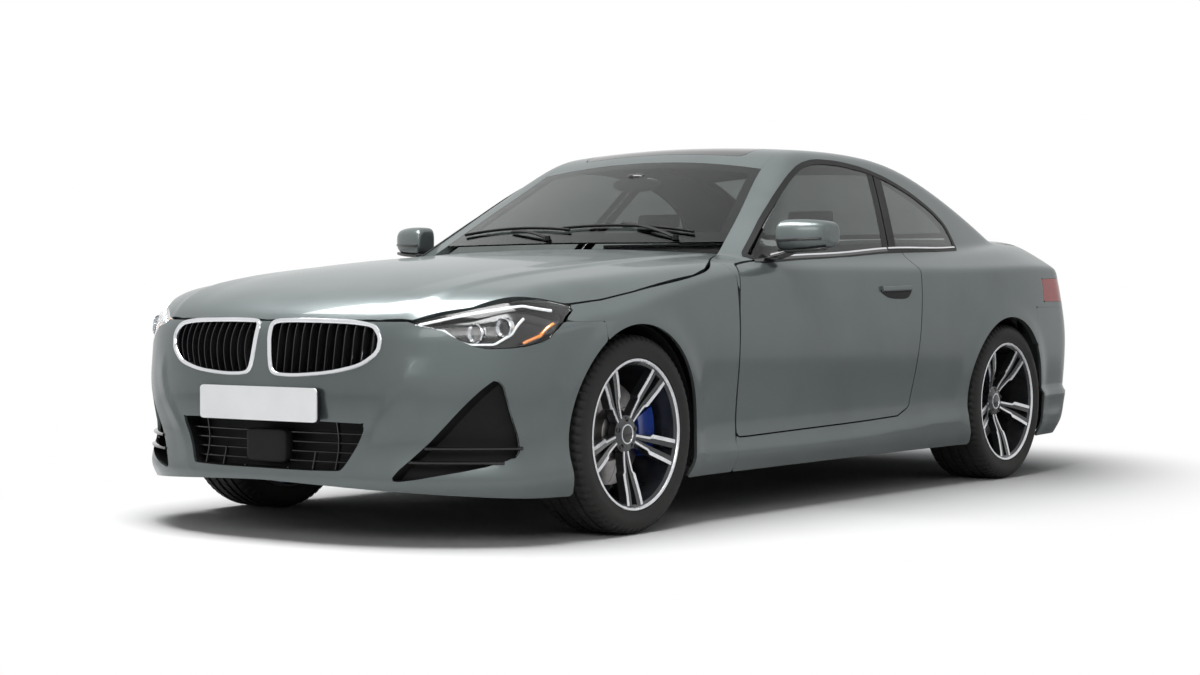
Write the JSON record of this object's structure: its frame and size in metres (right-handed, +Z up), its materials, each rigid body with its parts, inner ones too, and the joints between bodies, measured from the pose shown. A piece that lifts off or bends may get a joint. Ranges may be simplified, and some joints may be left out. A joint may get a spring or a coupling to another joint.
{
  "type": "coupe car",
  "caption": "Two-door coupe with opening doors, bonnet and boot lid, steered front wheels and turning spoked wheels.",
  "frame": {"origin": "on the ground at mid length and mid width", "axes": "-Y towards the front of the car, +X towards its left side, +Z up"},
  "size_m": [2.068, 4.5389, 1.3899],
  "materials": {
    "paint": "metallic gloss",
    "blue_paint": "gloss",
    "glass": "polished",
    "dark_glass": "polished",
    "lamp_glass": "polished",
    "red_lamp": "gloss",
    "cast_iron": "matt",
    "grey_structure": "satin",
    "black_plastic": "grained",
    "leather": "satin",
    "engine": "cast",
    "radiator": "matt",
    "tyre": "matt",
    "rim": "machined",
    "disc": "turned",
    "gloss_black": "gloss"
  },
  "bodies": {
    "shell": {"wings": "paint", "front_bumper": "paint", "rear_bumper": "paint", "side_frames": "paint", "roof_panel": "paint", "sunroof": "dark_glass", "headlamps": "lamp_glass", "tail_lamps": "red_lamp", "quarter_glasses": "glass", "windscreen": "glass", "rear_window": "glass", "front_axle": "cast_iron", "rear_axle": "cast_iron", "calipers_rear": "blue_paint", "front_structure": "grey_structure", "wheel_housings": "black_plastic", "floor_pan": "grey_structure", "firewall": "grey_structure", "dashboard": "black_plastic", "centre_console": "black_plastic", "front_seats": "leather", "rear_bench": "leather", "boot_tub": "grey_structure", "engine": "engine", "radiator": "radiator", "steering_wheel": "leather", "grilles": "gloss_black", "intake_inserts": "black_plastic"},
    "bonnet": {"bonnet": "paint"},
    "boot_lid": {"boot_lid": "paint"},
    "door_left": {"door_left": "paint", "door_glass_left": "glass", "mirror_left": "paint"},
    "door_right": {"door_right": "paint", "door_glass_right": "glass", "mirror_right": "paint"},
    "knuckle_left": {"knuckle_left": "cast_iron", "caliper_front_left": "blue_paint"},
    "knuckle_right": {"knuckle_right": "cast_iron", "caliper_front_right": "blue_paint"},
    "wheel_front_left": {"tyre_front_left": "tyre", "rim_front_left": "rim", "disc_front_left": "disc"},
    "wheel_front_right": {"tyre_front_right": "tyre", "rim_front_right": "rim", "disc_front_right": "disc"},
    "wheel_rear_left": {"tyre_rear_left": "tyre", "rim_rear_left": "rim", "disc_rear_left": "disc"},
    "wheel_rear_right": {"tyre_rear_right": "tyre", "rim_rear_right": "rim", "disc_rear_right": "disc"}
  },
  "joints": [
    {"name": "steer_left", "type": "hinge", "parent": "shell", "child": "knuckle_left", "pos_m": [0.775, -1.4235, 0.331], "axis": [0, 0, 1], "range_deg": [-35, 35]},
    {"name": "steer_right", "type": "hinge", "parent": "shell", "child": "knuckle_right", "pos_m": [-0.775, -1.4235, 0.331], "axis": [0, 0, 1], "range_deg": [-35, 35]},
    {"name": "spin_front_left", "type": "hinge", "parent": "knuckle_left", "child": "wheel_front_left", "pos_m": [0.7875, -1.4235, 0.331], "axis": [1, 0, 0], "continuous": true},
    {"name": "spin_rear_left", "type": "hinge", "parent": "shell", "child": "wheel_rear_left", "pos_m": [0.785, 1.3175, 0.331], "axis": [1, 0, 0], "continuous": true},
    {"name": "spin_front_right", "type": "hinge", "parent": "knuckle_right", "child": "wheel_front_right", "pos_m": [-0.7875, -1.4235, 0.331], "axis": [1, 0, 0], "continuous": true},
    {"name": "spin_rear_right", "type": "hinge", "parent": "shell", "child": "wheel_rear_right", "pos_m": [-0.785, 1.3175, 0.331], "axis": [1, 0, 0], "continuous": true},
    {"name": "door_left_open", "type": "hinge", "parent": "shell", "child": "door_left", "pos_m": [0.8844, -0.7405, 0.6], "axis": [0, 0, -1], "range_deg": [0, 65]},
    {"name": "door_right_open", "type": "hinge", "parent": "shell", "child": "door_right", "pos_m": [-0.8844, -0.7405, 0.6], "axis": [0, 0, 1], "range_deg": [0, 65]},
    {"name": "bonnet_open", "type": "hinge", "parent": "shell", "child": "bonnet", "pos_m": [0, -0.5935, 0.946], "axis": [-1, 0, 0], "range_deg": [0, 55]},
    {"name": "boot_open", "type": "hinge", "parent": "shell", "child": "boot_lid", "pos_m": [0, 1.8385, 1.02], "axis": [1, 0, 0], "range_deg": [0, 75]}
  ],
  "couplings": [
    {"joint": "steer_right", "follows": "steer_left", "ratio": 1}
  ]
}
